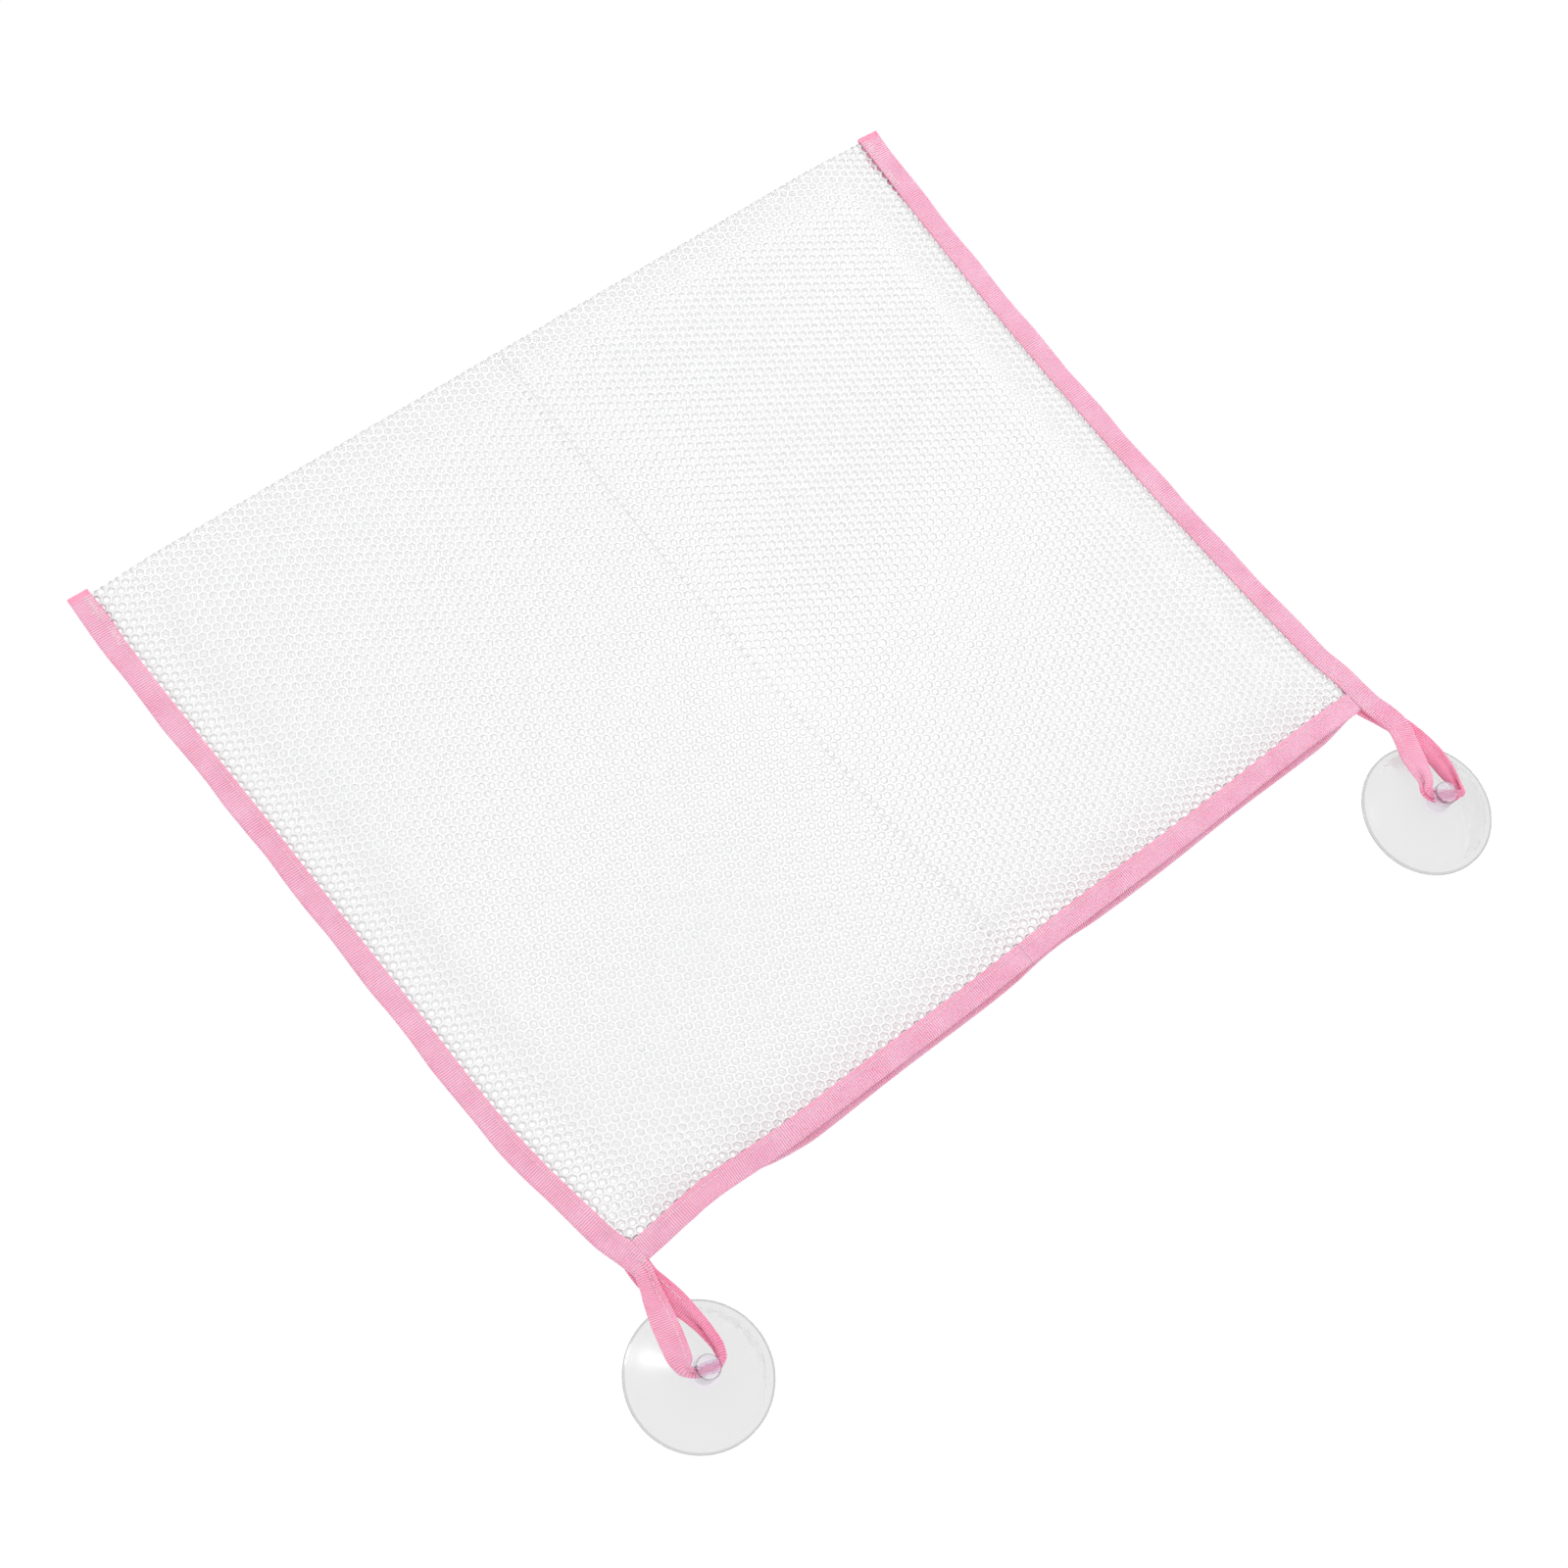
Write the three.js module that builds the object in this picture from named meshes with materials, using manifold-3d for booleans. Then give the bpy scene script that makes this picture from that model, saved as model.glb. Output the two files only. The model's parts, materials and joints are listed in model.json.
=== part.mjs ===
// Hanging mesh shower caddy: a flat net bag with taped edges, two tape loops and two suction cups.
// Millimetres, +Z up. The bag lies on its rear panel with its mouth towards -Y and its cups rim down.

import * as THREE from 'three';
import { mergeVertices } from 'three/addons/utils/BufferGeometryUtils.js';
import Module from 'manifold-3d';

// The bag as it lies: a sewn rectangle, a little drawn in at the mouth and bowed to one side
const bagWidth = 435; // across the fold, outside the tapes
const bagDepth = 349; // from the front mouth edge to the fold
const mouthDrawIn = 9.5; // how much narrower the mouth lies than the fold
const foldShift = -8; // how far the fold lies to the side of the mouth
const sideBow = -7; // how far the bag bows to the side half way down
const foldLean = 4; // how far the fold's left end lies back, and its right end forward
const pocketRise = 8; // how far the front panel billows above its seams
const billowRun = 30; // the distance from a seam over which it climbs

// Sheet goods and the clearance between layers that are sewn together
const netThickness = 0.6;
const tapeThickness = 0.6;
const threadThickness = 0.3;
const threadWidth = 0.7;
const clearance = 0.3;

// Bindings, their stitching and tacks
const sideFold = 10.5; // width of a side tape folded in half
const lipFold = 9.5; // width of a mouth tape folded in half
const rearLipDrop = 3; // how far the rear lip lies past the front lip
const sideOverrun = 4; // how far a side tape runs past the front lip before it closes on itself
const stitchInset = 1.8; // from a tape's inner edge to its stitching
const foldReturn = 3; // how far the net runs back over itself at the fold
const cornerTackStart = 2; // from the mouth edge
const cornerTackLength = 6;
const foldTackStart = 24; // from the fold
const foldTackLength = 14;
const tackWidth = 6;
const tackStrokes = 5;
const rowGap = 2; // between a row of stitches and a tack

// The net's gaps, coarser than the knitted ones
const gapPitch = 34;
const strandWidth = 7;
const gapMargin = 4; // from a tape's inner edge to the first gap

// Hanging loops: the tape closes past the corner, forks, and passes through the eye in the cup's knob
const tongueLength = 3;
const hingeGap = 0.9; // from the tongue's end to the line that the loop folds on
const loopTab = 9; // from that line to the fork
const loopLegBulge = 10.5; // half width over both legs
const loopGapBulge = 6; // half width of the gap between them
const loopLegWidth = 5; // beside the knob
const leftLoopReach = 41.4; // from the fold line to the cup's axis, along Y
const leftLoopDrift = -8.8; // how far the cup lies to the side of its loop's root
const leftEyeTurn = -20; // degrees that the eye, and the tape in it, lie turned from the mouth's line
const rightLoopReach = 46.6;
const rightLoopDrift = -14.1;
const rightEyeTurn = -31;

// Suction cup: one clear moulding
const cupRadius = 30;
const rimLand = 2.5; // flat ring that meets the wall
const rimThickness = 1.2;
const domeHeight = 11.5;
const hollowHeight = 7.5;
const domeFullness = 0.6; // share of the radius where the dome's two slopes would meet
const knobRadius = 5.1;
const knobHeight = 11.5; // above the dome
const knobFillet = 1.5; // at its foot
const knobEdge = 1.2; // rounding of its top
const eyeRadius = 2.6; // of the hole through the knob
const eyeHeight = 5.8; // of its axis above the dome
const eyePlay = 0.45; // between the knob and the tape through and beside it

// How finely curves are cut
const sideSteps = 24;
const lipSteps = 48;
const curveSteps = 6;
const turnSteps = 32;

// Heights of the sewn layers, from the surface up
const rearNetZ = tapeThickness + clearance;
const rearLipZ = rearNetZ + netThickness + clearance;
const rearThreadZ = rearLipZ + tapeThickness + clearance;
const frontLipZ = rearThreadZ + threadThickness + clearance;
const frontNetZ = frontLipZ + tapeThickness + clearance;
const topFlangeZ = frontNetZ + netThickness + clearance;
const seamHeight = topFlangeZ + tapeThickness;
const topThreadZ = seamHeight + clearance;

// The loop's root and the eye that it passes through
const halfWidth = bagWidth / 2;
const rootAcross = halfWidth - sideFold / 2;
const rootDown = -sideOverrun - tongueLength - hingeGap;
const rootZ = seamHeight / 2;
const loopThickness = 2 * tapeThickness;
const eyeZ = domeHeight + eyeHeight;
const eyeTapeWidth = 2 * Math.sqrt((eyeRadius - eyePlay) ** 2 - (loopThickness / 2) ** 2); // drawn together

const netWhite = 0xf4f5f6;
const tapePink = 0xf3a9bf;
const threadPink = 0xf8c9d6;
const clearPlastic = 0xe9eef0;

const wasm = await Module();
wasm.setup();

// A closed three.js geometry as a solid
function toSolid(geometry) {
  const bare = geometry.clone();
  bare.deleteAttribute('normal');
  bare.deleteAttribute('uv');
  const merged = mergeVertices(bare, 1e-4);
  const vertProperties = new Float32Array(merged.attributes.position.array);
  const triVerts = new Uint32Array(merged.index.array);
  return new wasm.Manifold(new wasm.Mesh({ numProp: 3, vertProperties, triVerts }));
}

// A solid as a three.js geometry
function toGeometry(solid) {
  const mesh = solid.getMesh();
  const geometry = new THREE.BufferGeometry();
  geometry.setAttribute('position', new THREE.BufferAttribute(new Float32Array(mesh.vertProperties), 3));
  geometry.setIndex(new THREE.BufferAttribute(new Uint32Array(mesh.triVerts), 1));
  return geometry;
}

// Moves every vertex to where the given function puts it
function reshape(geometry, place) {
  const position = geometry.attributes.position;
  for (let i = 0; i < position.count; i += 1) {
    position.setXYZ(i, ...place(position.getX(i), position.getY(i), position.getZ(i)));
  }
  geometry.deleteAttribute('normal');
  return geometry;
}

function extrude(shape, depth, steps = 1) {
  return new THREE.ExtrudeGeometry(shape, { depth, steps, bevelEnabled: false, curveSegments: curveSteps });
}

const outline = (points) => new THREE.Shape(points.map(([x, y]) => new THREE.Vector2(x, y)));
const between = (from, to, share) => from + (to - from) * share;
const evenly = (from, to, count) => Array.from({ length: count + 1 }, (_, i) => between(from, to, i / count));

// Where a point of the flat bag lies: across from its middle, down from the mouth
function lay(across, down) {
  const share = down / bagDepth;
  const side = across / halfWidth;
  const half = (bagWidth - mouthDrawIn * (1 - share)) / 2;
  const middle = foldShift * share + 4 * sideBow * share * (1 - share);
  return [middle + side * half, down - foldLean * side * share];
}

// How far the front panel stands above its seams
function billow(across, down) {
  const climb = (distance) => THREE.MathUtils.smoothstep(distance, 0, billowRun);
  return pocketRise * climb(halfWidth - sideFold - Math.abs(across)) * climb(bagDepth - lipFold - down);
}

const layFlat = (geometry) => reshape(geometry, (x, y, z) => [...lay(x, y), z]);
const layBillowed = (geometry) => reshape(geometry, (x, y, z) => [...lay(x, y), z + billow(x, y)]);

// A section drawn across and up, run along the bag's depth
function runDown(section, from, to, steps) {
  return reshape(extrude(section, to - from, steps), (x, y, z) => [x, to - z, y]);
}

// A section drawn down and up, run across the bag
function runAcross(section, from, to, steps = 1) {
  return reshape(extrude(section, to - from, steps), (x, y, z) => [from + z, x, y]);
}

// A tape folded round an edge: its web stands at the edge and its two flanges point away from it
function foldedSection(edge, inward, width, low, high) {
  const tip = edge + inward * width;
  const wall = edge + inward * tapeThickness;
  return outline([
    [edge, low],
    [tip, low],
    [tip, low + tapeThickness],
    [wall, low + tapeThickness],
    [wall, high - tapeThickness],
    [tip, high - tapeThickness],
    [tip, high],
    [edge, high],
  ]);
}

function rectangle(left, right, low, high) {
  return outline([
    [left, low],
    [right, low],
    [right, high],
    [left, high],
  ]);
}

function threadSection(middle, low) {
  return rectangle(middle - threadWidth / 2, middle + threadWidth / 2, low, low + threadThickness);
}

// Hexagonal gaps in columns that run from mouth to fold, every other column half a pitch on
function netGaps(firstDown, lastDown) {
  const reach = (gapPitch - strandWidth) / Math.sqrt(3);
  const columnPitch = (gapPitch * Math.sqrt(3)) / 2;
  const acrossLimit = halfWidth - sideFold - gapMargin - reach;
  const columns = Math.floor(acrossLimit / columnPitch);
  const gaps = [];
  for (let column = -columns; column <= columns; column += 1) {
    const start = firstDown + gapMargin + reach + (Math.abs(column) % 2) * (gapPitch / 2);
    for (let down = start; down <= lastDown - gapMargin - reach; down += gapPitch) {
      const corners = evenly(0, 2 * Math.PI, 6).slice(0, 6);
      const points = corners.map((turn) => new THREE.Vector2(
        column * columnPitch + reach * Math.cos(turn),
        down + reach * Math.sin(turn),
      ));
      gaps.push(new THREE.Path(points));
    }
  }
  return gaps;
}

// A flat net panel that reaches a given half width
function netPanel(half, firstDown, lastDown, low) {
  const mouthEdge = evenly(-half, half, sideSteps).map((across) => [across, firstDown]);
  const rightEdge = evenly(firstDown, lastDown, sideSteps).map((down) => [half, down]);
  const foldEdge = evenly(half, -half, sideSteps).map((across) => [across, lastDown]);
  const leftEdge = evenly(lastDown, firstDown, sideSteps).map((down) => [-half, down]);
  const edges = [mouthEdge, rightEdge, foldEdge, leftEdge];
  const shape = outline(edges.flatMap((edge) => edge.slice(0, sideSteps)));
  shape.holes = netGaps(lipFold, bagDepth - lipFold);
  return extrude(shape, netThickness).translate(0, 0, low);
}

const netHalf = halfWidth - tapeThickness - clearance; // the net's edges lie inside the side tapes
const lipEnd = halfWidth - sideFold - clearance; // the mouth tapes end just inside the side tapes
const foldRadius = (frontNetZ + netThickness - rearNetZ) / 2;
const foldCentre = bagDepth - foldRadius;

// The rear half of the net, with the fold that turns it back over itself
function rearNet() {
  const turn = new THREE.Shape();
  const innerRadius = foldRadius - netThickness;
  const middleZ = rearNetZ + foldRadius;
  const back = foldCentre - foldReturn;
  turn.moveTo(back, rearNetZ);
  turn.absarc(foldCentre, middleZ, foldRadius, -Math.PI / 2, Math.PI / 2, false);
  turn.lineTo(back, middleZ + foldRadius);
  turn.lineTo(back, middleZ + innerRadius);
  turn.absarc(foldCentre, middleZ, innerRadius, Math.PI / 2, -Math.PI / 2, true);
  turn.lineTo(back, rearNetZ + netThickness);
  const firstDown = -rearLipDrop + tapeThickness + clearance;
  const panel = toSolid(netPanel(netHalf, firstDown, foldCentre, rearNetZ));
  return layFlat(toGeometry(panel.add(toSolid(runAcross(turn, -netHalf, netHalf)))));
}

// The front half: a billowed panel with seam edges that lie flat in the side tapes and bend with the front lip
function frontNet() {
  const firstDown = tapeThickness + clearance;
  const lastDown = foldCentre - foldReturn - clearance;
  const lap = 2 * clearance;
  const top = frontNetZ + netThickness;
  const panel = toSolid(layBillowed(netPanel(lipEnd, lipFold + clearance, lastDown, frontNetZ)));
  const mouthEdge = rectangle(firstDown, lipFold + clearance + lap, frontNetZ, top);
  const edges = [layBillowed(runAcross(mouthEdge, -lipEnd, lipEnd, lipSteps))];
  for (const side of [-1, 1]) {
    const seamEdge = rectangle(side * (lipEnd - lap), side * netHalf, frontNetZ, top);
    edges.push(layFlat(runDown(seamEdge, firstDown, lastDown, sideSteps)));
  }
  return toGeometry(edges.reduce((joined, edge) => joined.add(toSolid(edge)), panel));
}

// A side tape over both nets; past the corner it closes on itself as the loop's tongue
function sideBinding(side) {
  const section = foldedSection(side * halfWidth, -side, sideFold, 0, seamHeight);
  const binding = toSolid(runDown(section, -sideOverrun, bagDepth, sideSteps));
  const length = sideOverrun + tongueLength - clearance;
  const tongue = new THREE.BoxGeometry(sideFold, length, loopThickness);
  tongue.translate(side * rootAcross, -clearance - length / 2, rootZ);
  return layFlat(toGeometry(binding.add(toSolid(tongue))));
}

function rearLip() {
  const section = foldedSection(-rearLipDrop, 1, lipFold, 0, rearLipZ + tapeThickness);
  return layFlat(runAcross(section, -lipEnd, lipEnd, sideSteps));
}

function frontLip() {
  const section = foldedSection(0, 1, lipFold, frontLipZ, seamHeight);
  return layBillowed(runAcross(section, -lipEnd, lipEnd, lipSteps));
}

function sideStitching(side) {
  const row = threadSection(side * (halfWidth - sideFold + stitchInset), topThreadZ);
  const first = cornerTackStart + cornerTackLength + rowGap;
  const last = bagDepth - foldTackStart - foldTackLength - rowGap;
  return layFlat(runDown(row, first, last, sideSteps));
}

function rearStitching() {
  const row = threadSection(lipFold - rearLipDrop - stitchInset, rearThreadZ);
  return layFlat(runAcross(row, -lipEnd, lipEnd, sideSteps));
}

function frontStitching() {
  const row = threadSection(lipFold - stitchInset, topThreadZ);
  return layBillowed(runAcross(row, -lipEnd, lipEnd, lipSteps));
}

// Stitches sewn to and fro across a side tape
function tack(side, start, length) {
  const edges = [side * rootAcross - tackWidth / 2, side * rootAcross + tackWidth / 2];
  const levels = evenly(start, start + length - threadWidth, tackStrokes);
  const strokes = evenly(0, tackStrokes - 1, tackStrokes - 1).map((i) => {
    const [from, to] = [edges[i % 2], edges[(i + 1) % 2]];
    const stroke = outline([
      [from, levels[i]],
      [to, levels[i + 1]],
      [to, levels[i + 1] + threadWidth],
      [from, levels[i] + threadWidth],
    ]);
    return toSolid(extrude(stroke, threadThickness).translate(0, 0, topThreadZ));
  });
  return layFlat(toGeometry(strokes.reduce((joined, stroke) => joined.add(stroke))));
}

// A loop in its own frame: it folds on the X axis and passes through the eye at (drift, -reach)
function hangingLoop(reach, drift, eyeTurn) {
  const gapHalf = knobRadius + eyePlay;
  const endHalf = gapHalf + loopLegWidth;
  const near = -reach + eyeTapeWidth / 2;
  const far = -reach - eyeTapeWidth / 2;
  const ring = new THREE.Shape();
  ring.moveTo(-sideFold / 2, 0);
  ring.lineTo(-sideFold / 2, -loopTab / 2);
  ring.bezierCurveTo(-sideFold / 2, -loopTab, -loopLegBulge, -reach / 2, -endHalf, near);
  ring.quadraticCurveTo(-endHalf, far, -gapHalf, far);
  ring.lineTo(gapHalf, far);
  ring.quadraticCurveTo(endHalf, far, endHalf, near);
  ring.bezierCurveTo(loopLegBulge, -reach / 2, sideFold / 2, -loopTab, sideFold / 2, -loopTab / 2);
  ring.lineTo(sideFold / 2, 0);
  const gap = new THREE.Path();
  gap.moveTo(0, -loopTab);
  gap.bezierCurveTo(-loopGapBulge, -loopTab, -loopGapBulge, -reach / 2, -gapHalf, near);
  gap.lineTo(gapHalf, near);
  gap.bezierCurveTo(loopGapBulge, -reach / 2, loopGapBulge, -loopTab, 0, -loopTab);
  ring.holes.push(gap);
  const levelFrom = reach - endHalf;
  const eye = new THREE.Vector2(drift, -reach);
  return reshape(extrude(ring, loopThickness), (x, y, z) => {
    const share = THREE.MathUtils.smoothstep(-y, 0, levelFrom);
    const place = new THREE.Vector2(x + drift * share, y);
    place.rotateAround(eye, THREE.MathUtils.degToRad(eyeTurn) * share);
    return [place.x, place.y, z - loopThickness / 2 + (eyeZ - rootZ) * share];
  });
}

// The cup: turned from the hollow's crown, round the rim and up to the knob's top, with an eye through the knob
function suctionCup(eyeTurn) {
  const hollowRim = cupRadius - rimLand;
  const top = domeHeight + knobHeight;
  const profile = new THREE.Path();
  profile.moveTo(0, hollowHeight);
  profile.quadraticCurveTo(hollowRim * domeFullness, hollowHeight, hollowRim, 0);
  profile.lineTo(cupRadius, 0);
  profile.lineTo(cupRadius, rimThickness);
  profile.quadraticCurveTo(cupRadius * domeFullness, domeHeight, knobRadius + knobFillet, domeHeight);
  profile.quadraticCurveTo(knobRadius, domeHeight, knobRadius, domeHeight + knobFillet);
  profile.lineTo(knobRadius, top - knobEdge);
  profile.quadraticCurveTo(knobRadius, top, knobRadius - knobEdge, top);
  profile.lineTo(0, top);
  const turned = new THREE.LatheGeometry(profile.getPoints(curveSteps), turnSteps).rotateX(Math.PI / 2);
  const eye = new THREE.CylinderGeometry(eyeRadius, eyeRadius, 4 * knobRadius, turnSteps);
  eye.rotateZ(Math.PI / 2).rotateZ(THREE.MathUtils.degToRad(eyeTurn)).translate(0, 0, eyeZ);
  return toGeometry(toSolid(turned).subtract(toSolid(eye)));
}

// Everything in one group, moved so that the origin is under the middle of its box
const caddy = new THREE.Group();

function addPiece(parent, name, geometry, color, roughness) {
  const material = new THREE.MeshStandardMaterial({ color, roughness, metalness: 0 });
  const mesh = new THREE.Mesh(geometry, material);
  mesh.name = name;
  parent.add(mesh);
}

addPiece(caddy, 'rear_net_panel', rearNet(), netWhite, 0.6);
addPiece(caddy, 'front_net_panel', frontNet(), netWhite, 0.6);
addPiece(caddy, 'rear_mouth_binding', rearLip(), tapePink, 0.7);
addPiece(caddy, 'front_mouth_binding', frontLip(), tapePink, 0.7);
addPiece(caddy, 'rear_mouth_stitching', rearStitching(), threadPink, 0.6);
addPiece(caddy, 'front_mouth_stitching', frontStitching(), threadPink, 0.6);

const sides = [
  { name: 'left', side: -1, reach: leftLoopReach, drift: leftLoopDrift, eyeTurn: leftEyeTurn },
  { name: 'right', side: 1, reach: rightLoopReach, drift: rightLoopDrift, eyeTurn: rightEyeTurn },
];

for (const { name, side, reach, drift, eyeTurn } of sides) {
  addPiece(caddy, `${name}_side_binding`, sideBinding(side), tapePink, 0.7);
  addPiece(caddy, `${name}_side_stitching`, sideStitching(side), threadPink, 0.6);
  addPiece(caddy, `${name}_corner_tack`, tack(side, cornerTackStart, cornerTackLength), threadPink, 0.6);
  const foldTackFirst = bagDepth - foldTackStart - foldTackLength;
  addPiece(caddy, `${name}_fold_tack`, tack(side, foldTackFirst, foldTackLength), threadPink, 0.6);

  const root = new THREE.Group();
  root.name = `${name}_root`;
  root.position.set(...lay(side * rootAcross, rootDown), rootZ);
  addPiece(root, `${name}_hanging_loop`, hangingLoop(reach, drift, eyeTurn), tapePink, 0.7);

  const knob = new THREE.Group();
  knob.name = `${name}_knob`;
  knob.position.set(drift, -reach, -rootZ);
  addPiece(knob, `${name}_suction_cup`, suctionCup(eyeTurn), clearPlastic, 0.1);
  root.add(knob);
  caddy.add(root);
}

const box = new THREE.Box3().setFromObject(caddy);
const middle = box.getCenter(new THREE.Vector3());
caddy.position.set(-middle.x, -middle.y, -box.min.z);

export default caddy;
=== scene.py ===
# Hanging mesh shower caddy: the looks of a flat net bag with taped edges, tape loops and suction cups.
# Metres, +Z up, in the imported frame: the mouth is towards -Y and the cups stand on their rims.

import json
import math
import random
from types import SimpleNamespace

import bpy
import numpy as np
from mathutils import Matrix, Vector


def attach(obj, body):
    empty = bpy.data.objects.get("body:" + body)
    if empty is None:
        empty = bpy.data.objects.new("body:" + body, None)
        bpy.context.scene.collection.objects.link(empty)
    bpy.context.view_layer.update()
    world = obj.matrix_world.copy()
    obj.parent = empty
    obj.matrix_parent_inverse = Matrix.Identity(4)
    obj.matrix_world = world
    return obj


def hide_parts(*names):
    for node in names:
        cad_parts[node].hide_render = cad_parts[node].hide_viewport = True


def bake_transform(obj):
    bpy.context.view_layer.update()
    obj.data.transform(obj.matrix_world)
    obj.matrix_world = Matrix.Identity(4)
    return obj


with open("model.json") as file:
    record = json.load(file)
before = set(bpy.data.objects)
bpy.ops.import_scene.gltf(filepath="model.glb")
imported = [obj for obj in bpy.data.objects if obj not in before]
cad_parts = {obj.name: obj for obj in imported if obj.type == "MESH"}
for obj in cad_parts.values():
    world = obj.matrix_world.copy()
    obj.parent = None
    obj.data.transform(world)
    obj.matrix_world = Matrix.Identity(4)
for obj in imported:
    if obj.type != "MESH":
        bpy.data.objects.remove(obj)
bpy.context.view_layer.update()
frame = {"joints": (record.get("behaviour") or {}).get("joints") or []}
joints = {joint["name"]: joint for joint in frame["joints"]}

MM = 0.001

# The bag as it lies, with the sizes of the part's source
BAG_WIDTH = 435 * MM
BAG_DEPTH = 349 * MM
MOUTH_DRAW_IN = 9.5 * MM
FOLD_SHIFT = -8 * MM
SIDE_BOW = -7 * MM
FOLD_LEAN = 4 * MM
HALF_WIDTH = BAG_WIDTH / 2
SIDE_FOLD = 9.8 * MM  # width of a side tape folded in half
LIP_FOLD = 9.4 * MM  # width of the front mouth tape folded in half
REAR_LIP_FOLD = 8 * MM
LOOP_ROOT = 7.9 * MM  # from the mouth to the line that a loop folds on

# How the cloth strays from that: size, middle and spread of each bump along the depth or along the mouth
LEFT_SWAY = ((-3.9 * MM, 0.18, 0.15), (2.4 * MM, 0.66, 0.22))  # places as shares of the depth
RIGHT_SWAY = -2.3 * MM
RIGHT_SWAY_RUN = 0.09  # share of the depth over which it comes in
PINCH = -158 * MM  # where the two lips of the mouth lie together
PINCH_SHARE = 0.75  # how far the front layer comes down there
PINCH_WIDTH = 24 * MM
PINCH_DEPTH = 40 * MM
FRONT_LIP_BUMPS = ((3.0 * MM, PINCH - 10 * MM, 28 * MM),)
FRONT_LIP_DROP = 2.3 * MM  # how far the front lip lies past the mouth's line elsewhere
REAR_LIP_BUMPS = (
    (5.6 * MM, PINCH, 21 * MM),
    (3.6 * MM, -196 * MM, 24 * MM),
    (1.5 * MM, 15 * MM, 17 * MM),
    (3.4 * MM, 208 * MM, 16 * MM),
)
REAR_LIP_DROP = 4.3 * MM  # the same for the rear lip
LIP_RIPPLE = 0.25 * MM

# Heights of the net's two layers, where the side tapes hold them
REAR_NET_Z = 0.95 * MM
FRONT_NET_Z = 1.5 * MM
FOLD_LIFT = 1.8 * MM  # how much rounder the fold is away from the tapes
POCKET_RISE = 5.2 * MM  # how far the front layer billows
BILLOW_RUN = 34 * MM
WAVE_HEIGHT = 0.7 * MM

# The net: hexagonal cells in columns from mouth to fold
CELL_PITCH = 4.06 * MM
HOLE_SHARE = 0.6
YARN_HALF = 0.28 * MM
NET_HALF = HALF_WIDTH - 3 * MM
NET_INSET = 3 * MM  # from the mouth's line to the net's cut edge, inside the lip
FOLD_ARC = 5 * MM  # length of net that turns round the fold
FOLD_START = BAG_DEPTH - FOLD_ARC / 2
REAR_END = FOLD_START + FOLD_ARC + FOLD_START - 2 * MM
HALVES_APART = 0.08 * MM  # a hair between the front net's halves, so that light passes there too

# Ribbed tape
TAPE_THICKNESS = 0.55 * MM
RIB_PITCH = 1.0 * MM
RIB_HEIGHT = 0.08 * MM
RIB_STEPS = 4
YARN_PITCH = 0.42 * MM  # of the yarns that run along a tape
BAG_GAP = 1.7 * MM  # between a side tape's two plies
LOOP_GAP = 0.64 * MM  # between them where they lie together
ROOT_GAPS = (1.6 * MM, 1.0 * MM)  # between them at a loop's first two points
LIP_GAP = 1.5 * MM
PLEAT_HEIGHT = 1.2 * MM  # of the folds that a tape makes where it is drawn together
PLEAT_TURN = 9.0  # radians of them across its width
SMOOTH_END = 3.2 * MM  # length at a tape's cut end that has no ribs

# A side tape is pressed flat near the fold, where its lower ply shows past the upper one
FLAT_LENGTH = 40 * MM
FLAT_FADE = 30 * MM
FLAT_LIFT = 0.28 * MM
UNDER_FADE = 2 * MM
SET_BACK = 0.6 * MM  # how far the lower ply stays behind the upper one elsewhere
SIDE_RIPPLE = 0.3 * MM
SIDE_RIPPLE_RUN = 7 * MM
SIDE_END = 14 * MM  # from the mouth to the last point before the loop's own
SIDE_POINTS = 26
LIP_POINTS = 30

# The front lip's ends are tucked under the side tapes
LIP_END = HALF_WIDTH - SIDE_FOLD + 2.5 * MM
TUCK_DROP = 0.5 * MM
TUCK_START = 8 * MM
TUCK_RUN = 6 * MM

# Where a tape takes its deeper pink: painted shade on turned-over faces and loops, and the same deeper pink
# at cut ends
TURNED_FROM = 21  # degrees of tilt
TURNED_TO = 91
LOOP_SHADE = 0.35  # how far the loops go towards that painted shade
LOOP_FADE = 10 * MM
END_SHADE = 0.7
END_FADE = 0.8 * MM

# Thread and stitches
THREAD_RADIUS = 0.2 * MM
STITCH_PITCH = 3.4 * MM
STITCH_LENGTH = 2.9 * MM
STITCH_INSET = 2.4 * MM
SEAM_START = 3 * MM  # from a side tape's cut end
TACK_NEAR = 0.5 * MM  # from a tape's open edge
TACK_STRAY = 0.5 * MM
TACK_SKEW = 0.7  # as a share of the space between two stitches
DASH_SPACE = 0.15  # left at each end of a dash, as a share of its length
FOLD_TACKS = ((3 * MM, 13 * MM, 4.5 * MM, 10), (19 * MM, 28 * MM, 3.5 * MM, 9))  # first, last, far, count
CORNER_TACKS = (-5.2 * MM, 1.5 * MM)  # along the tape from the mouth's line
CORNER_DASHES = 3

random.seed(7)


def smoothstep(value):
    value = np.clip(value, 0, 1)
    return value * value * (3 - 2 * value)


def bump(place, middle, spread):
    return np.exp(-(((place - middle) / spread) ** 2))


def bumps(place, rows):
    return sum(size * bump(place, middle, spread) for size, middle, spread in rows)


# Where things lie

def bag_middle(share):
    return FOLD_SHIFT * share + 4 * SIDE_BOW * share * (1 - share)


left_root = Vector(joints["left_loop_fold"]["pos_m"])
right_root = Vector(joints["right_loop_fold"]["pos_m"])
MOUTH_X = (left_root.x + right_root.x) / 2 - bag_middle(-LOOP_ROOT / BAG_DEPTH)
MOUTH_Y = (left_root.y + right_root.y) / 2 + LOOP_ROOT


def sway(side, share):
    """How far the cloth strays sideways from the plain curve of its side seams, left and right apart."""
    left = bumps(share, LEFT_SWAY)
    right = RIGHT_SWAY * smoothstep(share / RIGHT_SWAY_RUN)
    return left * (1 - side) / 2 + right * (1 + side) / 2


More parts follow.
